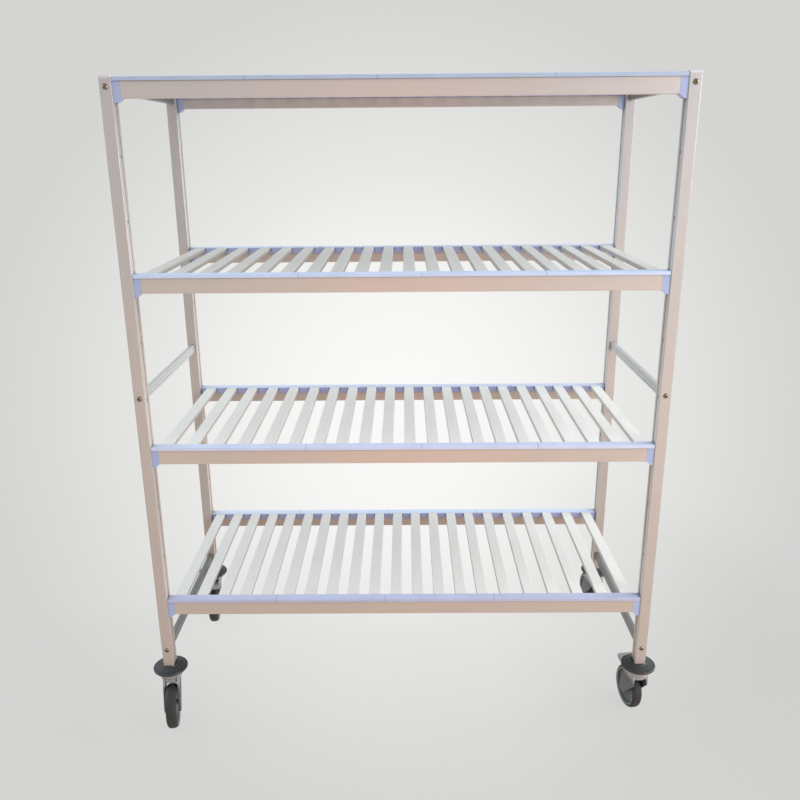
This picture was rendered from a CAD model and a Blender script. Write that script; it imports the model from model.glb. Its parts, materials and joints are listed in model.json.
# Shelf trolley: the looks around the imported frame, in metres
import json
import math

import bpy
from mathutils import Matrix, Vector

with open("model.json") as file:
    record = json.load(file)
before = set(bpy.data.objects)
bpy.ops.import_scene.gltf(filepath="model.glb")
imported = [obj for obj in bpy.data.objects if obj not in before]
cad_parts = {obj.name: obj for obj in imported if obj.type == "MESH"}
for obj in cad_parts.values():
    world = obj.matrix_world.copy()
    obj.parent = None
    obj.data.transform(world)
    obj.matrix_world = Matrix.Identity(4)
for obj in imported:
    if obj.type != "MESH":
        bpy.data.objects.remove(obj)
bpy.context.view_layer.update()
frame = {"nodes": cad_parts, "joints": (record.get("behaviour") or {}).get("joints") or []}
scene = bpy.context.scene
nodes = frame["nodes"]

# The camera, fitted to the posts, beams, screws and wheels
FOCAL_PX = 804.95
IMAGE_PX = 800
SENSOR_MM = 36
EYE = Vector((0.0072, -2.2954, 1.6171))
YAW = -0.00627
PITCH = -0.30485
ROLL = -0.00804
CLIP_NEAR = 0.05
CLIP_FAR = 100


def camera_axes():
    """The camera's right, up and forward directions in the row frame."""
    forward = Vector((math.sin(YAW) * math.cos(PITCH), math.cos(YAW) * math.cos(PITCH), math.sin(PITCH)))
    level = Vector((math.cos(YAW), -math.sin(YAW), 0))
    above = level.cross(forward)
    right = math.cos(ROLL) * level + math.sin(ROLL) * above
    up = math.cos(ROLL) * above - math.sin(ROLL) * level
    return right, up, forward


def make_camera():
    right, up, forward = camera_axes()
    data = bpy.data.cameras.new("photo_camera")
    data.sensor_width = SENSOR_MM
    data.lens = FOCAL_PX / IMAGE_PX * SENSOR_MM
    data.clip_start = CLIP_NEAR
    data.clip_end = CLIP_FAR
    camera = bpy.data.objects.new("photo_camera", data)
    turn = Matrix((right, up, -forward)).transposed()
    camera.matrix_world = Matrix.Translation(EYE) @ turn.to_4x4()
    scene.collection.objects.link(camera)
    scene.camera = camera


make_camera()
scene.view_settings.view_transform = "Standard"

# The curve between a written colour and the linear values that a shader takes
CURVE_BREAK = 0.04045
CURVE_SLOPE = 12.92
CURVE_SHIFT = 0.055
CURVE_POWER = 2.4


def srgb(red, green, blue):
    """A colour written from 0 to 255, as linear values."""
    linear = []
    for value in (red, green, blue):
        part = value / 255
        if part <= CURVE_BREAK:
            linear.append(part / CURVE_SLOPE)
        else:
            linear.append(((part + CURVE_SHIFT) / (1 + CURVE_SHIFT)) ** CURVE_POWER)
    return (*linear, 1.0)


def shade(colour, factor):
    """The same colour, lighter or darker by a factor."""
    return (*[min(1.0, part * factor) for part in colour[:3]], 1.0)


class Tree:
    """A short way to write node trees."""

    def __init__(self, tree):
        self.tree = tree

    def add(self, kind, inputs=(), **fields):
        node = self.tree.nodes.new(kind)
        for name, value in fields.items():
            setattr(node, name, value)
        for name, value in dict(inputs).items():
            self.set(node.inputs[name], value)
        return node

    def set(self, socket, value):
        """Links another node's socket, or writes a constant."""
        if isinstance(value, bpy.types.NodeSocket):
            self.tree.links.new(value, socket)
        else:
            socket.default_value = value

    def math(self, operation, first, second=0.0, clamp=False):
        node = self.add("ShaderNodeMath", {0: first, 1: second}, operation=operation, use_clamp=clamp)
        return node.outputs[0]

    def spread(self, value, low, high, start=0.0, end=1.0):
        """Maps a value from start..end to low..high."""
        fields = {"Value": value, "From Min": start, "From Max": end, "To Min": low, "To Max": high}
        return self.add("ShaderNodeMapRange", fields).outputs["Result"]

    def blend(self, factor, first, second, mode="MIX"):
        """Mixes two colours."""
        node = self.add("ShaderNodeMix", data_type="RGBA", blend_type=mode)
        for name, value in (("Factor", factor), (6, first), (7, second)):
            self.set(node.inputs[name], value)
        return node.outputs[2]

    def scale(self, colour, factor):
        """A colour times one number."""
        node = self.add("ShaderNodeVectorMath", {0: colour, "Scale": factor}, operation="SCALE")
        return node.outputs["Vector"]

    def axis(self, vector, name):
        """One coordinate of a vector."""
        return self.add("ShaderNodeSeparateXYZ", {"Vector": vector}).outputs[name]

    def normal(self, name):
        """One coordinate of the surface's direction."""
        return self.axis(self.add("ShaderNodeNewGeometry").outputs["Normal"], name)

    def ramp(self, value, stops):
        """A colour by a value from 0 up, between stops of value and colour."""
        top = stops[-1][0]
        node = self.add("ShaderNodeValToRGB", {"Fac": self.spread(value, 0.0, 1.0, 0.0, top)})
        elements = node.color_ramp.elements
        while len(elements) < len(stops):
            elements.new(0.5)
        for element, (stop, colour) in zip(elements, stops):
            element.position = stop / top
            element.color = colour
        return node.outputs["Color"]

    def noise(self, coordinates, scale, detail, roughness=0.5, stretch=(1, 1, 1)):
        mapped = self.add("ShaderNodeMapping", {"Vector": coordinates, "Scale": stretch})
        fields = {"Vector": mapped.outputs[0], "Scale": scale, "Detail": detail, "Roughness": roughness}
        return self.add("ShaderNodeTexNoise", fields).outputs["Fac"]


# The studio: a pale backdrop by direction, a pale floor and soft lamps

# Tones of the backdrop, by 1 less the cosine of the angle from its brightest direction
BACKDROP_STEPS = ((0.0, 250), (0.015, 243), (0.0378, 232), (0.06, 225), (0.0816, 219), (0.11, 213),
                  (0.13, 212))
# The backdrop's blue is less than its red and green by this much, of 255
BACKDROP_WARMTH = 2
# Strength of the ambient light from the horizon and from straight above
AMBIENT_LOW = 0.4
AMBIENT_HIGH = 1.3
AMBIENT_COLOUR = (0.95, 0.98, 1.0, 1)
FLOOR_SIZE = 60
# Distances from the middle between which the floor gives way to the backdrop
FLOOR_FADE_START = 0.95
FLOOR_FADE_END = 2.0
# The share of the light that the near floor gives back, so that it meets the backdrop's tone
FLOOR_GAIN = 0.985
FLOOR_SPECKLE = 0.01
FLOOR_SPECKLE_SCALE = 40
FLOOR_SPECKLE_DETAIL = 3
# The share of the floor's tone that doesn't depend on the light, which keeps the shadow faint
FLOOR_GLOW = 0.9
FLOOR_BOUNCE = (214, 180, 158)
# The floor's tone falls off to the right, away from the backdrop's brightest place
FLOOR_RIGHT = 0.9
FLOOR_RIGHT_SPAN = (0.3, 1.5)
LAMP_AIM = Vector((0, 0, 0.9))


def backdrop_tone(tree, direction):
    """The backdrop's tone, brightest in the direction of the object's middle."""
    middle = camera_axes()[2]
    along = tree.add("ShaderNodeVectorMath", {0: direction, 1: middle}, operation="DOT_PRODUCT")
    away = tree.math("SUBTRACT", 1.0, along.outputs["Value"])
    stops = [(stop, srgb(tone, tone, tone - BACKDROP_WARMTH)) for stop, tone in BACKDROP_STEPS]
    return tree.ramp(away, stops)


def seen_directly(tree):
    """1 for rays from the camera and for reflected and refracted ones."""
    path = tree.add("ShaderNodeLightPath")
    both = tree.math("ADD", path.outputs["Is Camera Ray"], path.outputs["Is Glossy Ray"], clamp=True)
    return tree.math("ADD", both, path.outputs["Is Transmission Ray"], clamp=True)


def make_world():
    world = bpy.data.worlds.new("studio")
    scene.world = world
    world.use_nodes = True
    world.node_tree.nodes.clear()
    tree = Tree(world.node_tree)
    direction = tree.add("ShaderNodeTexCoord").outputs["Generated"]
    pale = tree.add("ShaderNodeBackground", {"Color": backdrop_tone(tree, direction), "Strength": 1.0})
    sky = tree.spread(tree.axis(direction, "Z"), AMBIENT_LOW, AMBIENT_HIGH)
    ambient = tree.add("ShaderNodeBackground", {"Color": AMBIENT_COLOUR, "Strength": sky})
    mix = tree.add("ShaderNodeMixShader", {"Fac": seen_directly(tree), 1: ambient.outputs[0],
                                           2: pale.outputs[0]})
    tree.add("ShaderNodeOutputWorld", {"Surface": mix.outputs[0]})


def make_floor():
    mesh = bpy.data.meshes.new("floor")
    half = FLOOR_SIZE / 2
    corners = [(-half, -half, 0), (half, -half, 0), (half, half, 0), (-half, half, 0)]
    mesh.from_pydata(corners, [], [(0, 1, 2, 3)])
    floor = bpy.data.objects.new("floor", mesh)
    scene.collection.objects.link(floor)
    material = bpy.data.materials.new("floor")
    material.use_nodes = True
    material.node_tree.nodes.clear()
    tree = Tree(material.node_tree)
    place = tree.add("ShaderNodeTexCoord").outputs["Object"]
    away = tree.add("ShaderNodeVectorMath", {0: place}, operation="LENGTH").outputs["Value"]
    far = tree.add("ShaderNodeMapRange",
                   {"Value": away, "From Min": FLOOR_FADE_START, "From Max": FLOOR_FADE_END},
                   interpolation_type="SMOOTHERSTEP").outputs["Result"]
    line = tree.add("ShaderNodeVectorMath", {0: place, 1: EYE}, operation="SUBTRACT").outputs[0]
    aim = tree.add("ShaderNodeVectorMath", {0: line}, operation="NORMALIZE").outputs[0]
    speckle = tree.noise(place, FLOOR_SPECKLE_SCALE, FLOOR_SPECKLE_DETAIL)
    gain = tree.spread(speckle, FLOOR_GAIN * (1 - FLOOR_SPECKLE), FLOOR_GAIN * (1 + FLOOR_SPECKLE))
    fall = tree.spread(tree.axis(place, "X"), 1.0, FLOOR_RIGHT, *FLOOR_RIGHT_SPAN)
    tone = tree.scale(backdrop_tone(tree, aim), tree.math("MULTIPLY", gain, fall))
    seen = seen_directly(tree)
    pale = tree.add("ShaderNodeBsdfDiffuse", {"Color": tone})
    warm = tree.add("ShaderNodeBsdfDiffuse", {"Color": srgb(*FLOOR_BOUNCE)})
    glow = tree.add("ShaderNodeEmission", {"Color": tone})
    paper = tree.add("ShaderNodeMixShader", {"Fac": FLOOR_GLOW, 1: pale.outputs[0], 2: glow.outputs[0]})
    matt = tree.add("ShaderNodeMixShader", {"Fac": seen, 1: warm.outputs[0], 2: paper.outputs[0]})
    clear = tree.add("ShaderNodeBsdfTransparent")
    hidden = tree.math("MULTIPLY", far, seen)
    mix = tree.add("ShaderNodeMixShader", {"Fac": hidden, 1: matt.outputs[0], 2: clear.outputs[0]})
    tree.add("ShaderNodeOutputMaterial", {"Surface": mix.outputs[0]})
    mesh.materials.append(material)


def make_lamp(name, towards, distance, size, power, colour):
    """A soft area lamp that looks at the middle of the trolley."""
    away = Vector(towards).normalized()
    data = bpy.data.lights.new(name, "AREA")
    data.shape = "RECTANGLE"
    data.size, data.size_y = size
    data.energy = power
    data.color = colour
    lamp = bpy.data.objects.new(name, data)
    lamp.location = LAMP_AIM + away * distance
    lamp.rotation_mode = "QUATERNION"
    lamp.rotation_quaternion = away.to_track_quat("Z", "Y")
    scene.collection.objects.link(lamp)


make_world()
make_floor()
make_lamp("key", towards=(0.9, 0.16, 0.2), distance=11, size=(4.2, 3.2), power=850,
          colour=(1.0, 0.985, 0.965))
make_lamp("fill_left", towards=(-0.92, 0.16, 0.3), distance=7, size=(3.2, 3.0), power=190,
          colour=(0.74, 0.9, 1.0))
make_lamp("front_right", towards=(0.76, -0.62, 0.2), distance=3.8, size=(2.0, 2.2), power=68,
          colour=(1.0, 0.93, 0.9))

# Crevices: from how far a neighbour dulls a surface, and between which shares of open space around it
CLOSE_REACH = 0.009
CLOSE_SPAN = (0.35, 0.85)
LOOSE_REACH = 0.03
LOOSE_SPAN = (0.4, 0.9)
REACH_SAMPLES = 6
# The tone that is left there, where a material gives no other
CLOSE_TONE = 0.3
LOOSE_TONE = 0.75


def surface(name, metallic, specular=0.5):
    """A new material with its tree, its shader and its object coordinates."""
    material = bpy.data.materials.new(name)
    material.use_nodes = True
    tree = Tree(material.node_tree)
    shader = material.node_tree.nodes["Principled BSDF"]
    shader.inputs["Metallic"].default_value = metallic
    shader.inputs["Specular IOR Level"].default_value = specular
    place = tree.add("ShaderNodeTexCoord").outputs["Object"]
    return material, tree, shader, place


def shade_crevices(tree, shader, base, close_tone=CLOSE_TONE, loose_tone=LOOSE_TONE):
    """Dulls a colour where another surface stands close to it, as dust and shadow do in a joint."""
    shares = []
    for reach, tone, span in ((CLOSE_REACH, close_tone, CLOSE_SPAN), (LOOSE_REACH, loose_tone, LOOSE_SPAN)):
        space = tree.add("ShaderNodeAmbientOcclusion", {"Distance": reach}, samples=REACH_SAMPLES)
        shares.append(tree.spread(space.outputs["AO"], tone, 1.0, *span))
    tree.set(shader.inputs["Base Color"], tree.scale(base, tree.math("MULTIPLY", *shares)))


# The patterns of single materials. A span is where a tone begins and where it is full

# Blue rails: tints by height, then paler from front to rear, and deeper on the rear rails' inner walls
RAIL_BLUE = srgb(186, 200, 230)
RAIL_BLUE_FAR = srgb(204, 219, 245)
RAIL_BLUE_DEEP = srgb(172, 184, 232)
BLUE_TINTS = ((0.4, (0.91, 0.86, 0.88)), (0.86, (1.18, 1.15, 1.13)), (1.32, (1.12, 1.19, 1.2)),
              (1.775, (0.82, 0.9, 0.9)))
REAR_SPAN = (-0.25, 0.25)
REAR_WALL_SPAN = (0.2, 0.25)
REAR_WALL_TURN = (-0.995, -0.9)
# Slats: duller below and on the sides, with each tier's tone, and brighter to the right
UNDERSIDE_TONE = 0.55
UNDERSIDE_TURN = (-0.8, -0.2)
SIDE_TONE = 0.62
SIDE_TURN = (0.6, 0.95)
SLAT_LOW = 0.9
SLAT_LOW_SPAN = (0.4, 0.8)
SLAT_HIGH = 0.8
SLAT_HIGH_SPAN = (0.9, 1.3)
SLAT_RIGHT = 1.16
SLAT_RIGHT_SPAN = (0.0, 0.5)
# Posts and beams: tints of the anodised film by height
FILM_TINTS = ((0.3, (0.96, 0.9, 0.85)), (1.0, (1.05, 1.02, 0.99)), (1.75, (0.93, 1.0, 1.08)))
OUTER_TONE = 0.66
OUTER_TURN = (0.1, 0.65)
INNER_COOL = (1.05, 1.15, 1.2, 1)
INNER_TURN = (-0.9, -0.6)
INNER_SPAN = (0.5, 0.6)
MIDDLE_WARM = (1.12, 1.02, 0.98, 1)
MIDDLE_SPAN = (0.1, 0.5)
MIDDLE_HEIGHT_SPAN = (0.5, 0.8)
# Side rails: duller under the top tier and near the floor. What turns outwards keeps at least the outer
# tone, and the flat outer faces are then dulled by the same tone
HIGH_RAIL_TONE = 0.48
HIGH_RAIL_SPAN = (1.5, 1.7)
LOW_RAIL_TONE = 0.36
LOW_RAIL_SPAN = (0.4, 0.7)
RAIL_OUTER_TURN = (0.2, 0.6)
RAIL_EDGE_TURN = (0.6, 0.7)
# Forks: darker legs, below the hood
FORK_LEG = srgb(90, 95, 103)
FORK_LEG_SPAN = (0.116, 0.134)
# Wheel cores: a pale rim, and a darker web near the wheel's mid plane
CORE_RIM = srgb(152, 158, 160)
CORE_WEB = srgb(94, 102, 106)
CORE_WEB_SPAN = (0.0095, 0.014)


def tint_by_height(tree, place, base, tints):
    """Tints a colour by the height above the floor."""
    strongest = max(max(tint) for _, tint in tints)
    stops = [(height, (*[part / strongest for part in tint], 1)) for height, tint in tints]
    ramp = tree.ramp(tree.axis(place, "Z"), stops)
    tinted = tree.add("ShaderNodeVectorMath", {0: base, 1: ramp}, operation="MULTIPLY").outputs[0]
    return tree.scale(tinted, strongest)


def facing_out(tree, place):
    """1 on faces that look away from the trolley's middle plane, and -1 on those that look at it."""
    return tree.math("MULTIPLY", tree.math("SIGN", tree.axis(place, "X")), tree.normal("X"))


def blue_pattern(tree, place, base):
    """The blue rails: tinted by height, paler to the rear, and deeper on the rear rails' inner walls."""
    depth = tree.axis(place, "Y")
    base = tint_by_height(tree, place, base, BLUE_TINTS)
    base = tree.blend(tree.spread(depth, 0.0, 1.0, *REAR_SPAN), base, RAIL_BLUE_FAR)
    wall = tree.math("MULTIPLY", tree.spread(tree.normal("Y"), 1.0, 0.0, *REAR_WALL_TURN),
                     tree.spread(depth, 0.0, 1.0, *REAR_WALL_SPAN))
    return tree.blend(wall, base, RAIL_BLUE_DEEP)


def slat_pattern(tree, place, base):
    """The slats: duller on the sides and underneath, with a tone by height and brighter to the right."""
    height = tree.axis(place, "Z")
    aside = tree.math("ABSOLUTE", tree.normal("X"))
    tones = (tree.spread(tree.normal("Z"), UNDERSIDE_TONE, 1.0, *UNDERSIDE_TURN),
             tree.spread(aside, 1.0, SIDE_TONE, *SIDE_TURN),
             tree.spread(height, SLAT_LOW, 1.0, *SLAT_LOW_SPAN),
             tree.spread(height, 1.0, SLAT_HIGH, *SLAT_HIGH_SPAN),
             tree.spread(tree.axis(place, "X"), 1.0, SLAT_RIGHT, *SLAT_RIGHT_SPAN))
    for tone in tones:
        base = tree.scale(base, tone)
    return base


def film_pattern(tree, place, base):
    """The posts' and beams' film: cooler high up, warmer and a little darker near the floor."""
    base = tint_by_height(tree, place, base, FILM_TINTS)
    out = facing_out(tree, place)
    across = tree.axis(place, "X")
    # The outer faces, which get knocked and handled, are duller
    base = tree.scale(base, tree.spread(out, 1.0, OUTER_TONE, *OUTER_TURN))
    # The right posts' inner faces, away from the light, are cooler
    inner = tree.math("MULTIPLY", tree.spread(out, 1.0, 0.0, *INNER_TURN),
                      tree.spread(across, 0.0, 1.0, *INNER_SPAN))
    base = tree.blend(inner, base, INNER_COOL, "MULTIPLY")
    # The middle of the tiers is warmer
    middle = tree.math("MULTIPLY", tree.spread(tree.math("ABSOLUTE", across), 1.0, 0.0, *MIDDLE_SPAN),
                       tree.spread(tree.axis(place, "Z"), 0.0, 1.0, *MIDDLE_HEIGHT_SPAN))
    return tree.blend(middle, base, MIDDLE_WARM, "MULTIPLY")


def side_rail_pattern(tree, place, base):
    """The side rails: duller under the top tier and near the floor than halfway up."""
    height = tree.axis(place, "Z")
    out = facing_out(tree, place)
    tone = tree.math("MULTIPLY", tree.spread(height, 1.0, HIGH_RAIL_TONE, *HIGH_RAIL_SPAN),
                     tree.spread(height, LOW_RAIL_TONE, 1.0, *LOW_RAIL_SPAN))
    tone = tree.math("MAXIMUM", tone, tree.spread(out, 0.0, OUTER_TONE, *RAIL_OUTER_TURN))
    tone = tree.math("MULTIPLY", tone, tree.spread(out, 1.0, OUTER_TONE, *RAIL_EDGE_TURN))
    return tree.scale(base, tone)


def fork_pattern(tree, place, base):
    """A fork: darker on the legs than on the crown and hood."""
    return tree.blend(tree.spread(tree.axis(place, "Z"), 0.0, 1.0, *FORK_LEG_SPAN), FORK_LEG, base)


def core_pattern(corner):
    """A wheel core's pattern: a pale rim and a darker web, by the distance from the wheel's mid plane."""
    spin = next(joint for joint in frame["joints"] if joint["name"] == f"caster_{corner}_wheel_spin")
    middle = Vector(spin["pos_m"])
    axle = Vector(spin["axis"])

    def pattern(tree, place, base):
        out = tree.add("ShaderNodeVectorMath", {0: place, 1: middle}, operation="SUBTRACT").outputs[0]
        side = tree.add("ShaderNodeVectorMath", {0: out, 1: axle}, operation="DOT_PRODUCT").outputs["Value"]
        share = tree.spread(tree.math("ABSOLUTE", side), 0.0, 1.0, *CORE_WEB_SPAN)
        return tree.blend(share, CORE_WEB, base)

    return pattern


# Extruded and turned metal: die lines, a finer line between them, and clouding
DIE_SCALE = 900
DIE_DETAIL = 2
DIE_SPAN = (0.32, 0.68)
DIE_DARK = 0.93
DIE_PALE = 1.06
DIE_DEPTH = 0.00004
# Noise is this much slower along a profile than across it
DIE_STRETCH = 0.012
FINE_SCALE = 4200
FINE_DETAIL = 1
FINE_SHARE = 0.35
METAL_CLOUD_SCALE = 5
METAL_CLOUD_DETAIL = 3
METAL_CLOUD_PALE = 1.03
METAL_GLOSS_SWING = (0.85, 1.15)
METAL_GLOSS_SPAN = (0.3, 0.75)
METAL_BUMP = 0.35
# Plastic and rubber: a fine grain and clouding
GRAIN_DETAIL = 2
GRAIN_ROUGHNESS = 0.55
GRAIN_SPAN = (0.4, 0.8)
GRAIN_SHARE = 0.5
PLASTIC_CLOUD_SCALE = 14
PLASTIC_CLOUD_DETAIL = 4
PLASTIC_MOTTLE = 0.05
PLASTIC_BUMP = 0.4
# Both
CLOUD_ROUGHNESS = 0.6
CLOUD_SPAN = (0.3, 0.7)


def brushed_metal(name, colour, along, metallic, roughness, pattern=None, **tones):
    """Extruded, anodised aluminium: die lines along the profile, faint clouding across it."""
    material, tree, shader, place = surface(name, metallic)
    stretch = [1.0, 1.0, 1.0]
    stretch["xyz".index(along)] = DIE_STRETCH
    die = tree.noise(place, DIE_SCALE, DIE_DETAIL, CLOUD_ROUGHNESS, stretch)
    fine = tree.noise(place, FINE_SCALE, FINE_DETAIL, stretch=stretch)
    cloud = tree.noise(place, METAL_CLOUD_SCALE, METAL_CLOUD_DETAIL, CLOUD_ROUGHNESS)
    base = tree.blend(tree.spread(die, 0.0, 1.0, *DIE_SPAN), shade(colour, DIE_DARK),
                      shade(colour, DIE_PALE))
    base = tree.blend(tree.spread(cloud, 0.0, 1.0, *CLOUD_SPAN), base, shade(colour, METAL_CLOUD_PALE))
    if pattern:
        base = pattern(tree, place, base)
    shade_crevices(tree, shader, base, **tones)
    gloss = tree.math("MULTIPLY", die, tree.spread(cloud, *METAL_GLOSS_SWING, *CLOUD_SPAN))
    tree.set(shader.inputs["Roughness"], tree.spread(gloss, *roughness, *METAL_GLOSS_SPAN))
    height = tree.math("ADD", die, tree.math("MULTIPLY", fine, FINE_SHARE))
    bump = tree.add("ShaderNodeBump", {"Strength": METAL_BUMP, "Distance": DIE_DEPTH, "Height": height})
    tree.set(shader.inputs["Normal"], bump.outputs[0])
    return material


def moulded(name, colour, roughness, grain=1600, depth=0.00006, specular=0.5, pattern=None, **tones):
    """Moulded or coated plastic: a fine grain, faint clouding and uneven gloss."""
    material, tree, shader, place = surface(name, 0.0, specular)
    fine = tree.noise(place, grain, GRAIN_DETAIL, GRAIN_ROUGHNESS)
    cloud = tree.noise(place, PLASTIC_CLOUD_SCALE, PLASTIC_CLOUD_DETAIL, CLOUD_ROUGHNESS)
    base = tree.blend(tree.spread(cloud, 0.0, 1.0, *CLOUD_SPAN), shade(colour, 1 - PLASTIC_MOTTLE),
                      shade(colour, 1 + PLASTIC_MOTTLE))
    base = tree.blend(tree.spread(fine, 0.0, GRAIN_SHARE, *GRAIN_SPAN), base,
                      shade(colour, 1 + PLASTIC_MOTTLE / 2))
    if pattern:
        base = pattern(tree, place, base)
    shade_crevices(tree, shader, base, **tones)
    tree.set(shader.inputs["Roughness"], tree.spread(cloud, *roughness, *CLOUD_SPAN))
    bump = tree.add("ShaderNodeBump", {"Strength": PLASTIC_BUMP, "Distance": depth, "Height": fine})
    tree.set(shader.inputs["Normal"], bump.outputs[0])
    return material


post_metal = brushed_metal("anodised_upright", srgb(190, 187, 185), along="z", metallic=0.2,
                           roughness=(0.34, 0.5), pattern=film_pattern, close_tone=0.7, loose_tone=0.95)
beam_metal = brushed_metal("anodised_across", srgb(203, 194, 188), along="x", metallic=0.35,
                           roughness=(0.3, 0.46), pattern=film_pattern)
side_metal = brushed_metal("anodised_deep", srgb(199, 204, 205), along="y", metallic=0.3,
                           roughness=(0.26, 0.42), pattern=side_rail_pattern, close_tone=0.6)
slat_metal = brushed_metal("slat_satin", srgb(223, 225, 223), along="y", metallic=0.1,
                           roughness=(0.5, 0.64), pattern=slat_pattern)
blue_plastic = moulded("blue_rail", RAIL_BLUE, roughness=(0.38, 0.52), pattern=blue_pattern, loose_tone=0.6)
cap_plastic = moulded("pale_cap", srgb(206, 212, 226), roughness=(0.4, 0.55), loose_tone=0.9)
connector_plastic = moulded("blue_connector", srgb(163, 182, 223), roughness=(0.4, 0.55))
zinc = brushed_metal("zinc", srgb(176, 176, 174), along="z", metallic=0.8, roughness=(0.3, 0.45))
dark_zinc = brushed_metal("dark_zinc", srgb(112, 114, 118), along="z", metallic=0.3, roughness=(0.4, 0.6))
bronze = brushed_metal("bronzed_steel", srgb(150, 134, 114), along="z", metallic=1.0,
                       roughness=(0.12, 0.22))
disc_rubber = moulded("disc_rubber", srgb(52, 56, 58), roughness=(0.34, 0.46), grain=1200, specular=0.45)
fork_nylon = moulded("fork_nylon", srgb(162, 168, 172), roughness=(0.4, 0.58), grain=1500, depth=0.0001,
                     pattern=fork_pattern)
tyre_rubber = moulded("tyre_rubber", srgb(51, 50, 50), roughness=(0.55, 0.75), grain=1100, depth=0.00012,
                      specular=0.4)
pedal_nylon = moulded("pedal_nylon", srgb(152, 152, 155), roughness=(0.42, 0.6), grain=1500, depth=0.0001)

TIERS = 4
INSERTS = 4
CORNERS = ("fl", "fr", "rl", "rr")
BRAKED = ("fr", "rl")


def dress(material, *names):
    for name in names:
        mesh = nodes[name].data
        mesh.materials.clear()
        mesh.materials.append(material)


dress(post_metal, "left_posts", "right_posts")
dress(beam_metal, "front_beams", "rear_beams")
dress(side_metal, "side_rails")
dress(cap_plastic, "post_caps")
dress(connector_plastic, "corner_connectors")
dress(bronze, "rail_screws")
dress(zinc, "caster_stems")
dress(disc_rubber, "bumper_discs")
for tier in range(1, TIERS + 1):
    for insert in range(1, INSERTS + 1):
        dress(blue_plastic, f"tier{tier}_insert{insert}_rails")
        dress(slat_metal, f"tier{tier}_insert{insert}_slats")
for corner in CORNERS:
    dress(fork_nylon, f"caster_{corner}_fork")
    dress(dark_zinc, f"caster_{corner}_axle")
    core_nylon = moulded(f"core_nylon_{corner}", CORE_RIM, roughness=(0.4, 0.6), grain=1500, depth=0.0001,
                         pattern=core_pattern(corner), loose_tone=0.5)
    dress(core_nylon, f"caster_{corner}_wheel_core")
    dress(tyre_rubber, f"caster_{corner}_tyre")
for corner in BRAKED:
    dress(pedal_nylon, f"caster_{corner}_brake_pedal")

# Widths of the rounded edges
THIN_EDGE = 0.0006
CORE_EDGE = 0.0009
PEDAL_EDGE = 0.0012
FORK_EDGE = 0.0014
EDGE_SEGMENTS = 2
# Faces within the first angle of each other are joined, and edges sharper than the second are rounded
FLAT_ANGLE = math.radians(0.5)
SHARP_ANGLE = math.radians(30)
WELD_REACH = 0.00001


def soften(name, width):
    """Rounds a node's sharp edges with modifiers, which leave its own mesh as it is."""
    node = nodes[name]
    weld = node.modifiers.new("join", "WELD")
    weld.merge_threshold = WELD_REACH
    flat = node.modifiers.new("flatten", "DECIMATE")
    flat.decimate_type = "DISSOLVE"
    flat.angle_limit = FLAT_ANGLE
    bevel = node.modifiers.new("round", "BEVEL")
    bevel.width = width
    bevel.segments = EDGE_SEGMENTS
    bevel.limit_method = "ANGLE"
    bevel.angle_limit = SHARP_ANGLE
    bevel.harden_normals = True


soften("corner_connectors", THIN_EDGE)
soften("post_caps", THIN_EDGE)
for corner in CORNERS:
    soften(f"caster_{corner}_fork", FORK_EDGE)
    soften(f"caster_{corner}_wheel_core", CORE_EDGE)
for corner in BRAKED:
    soften(f"caster_{corner}_brake_pedal", PEDAL_EDGE)
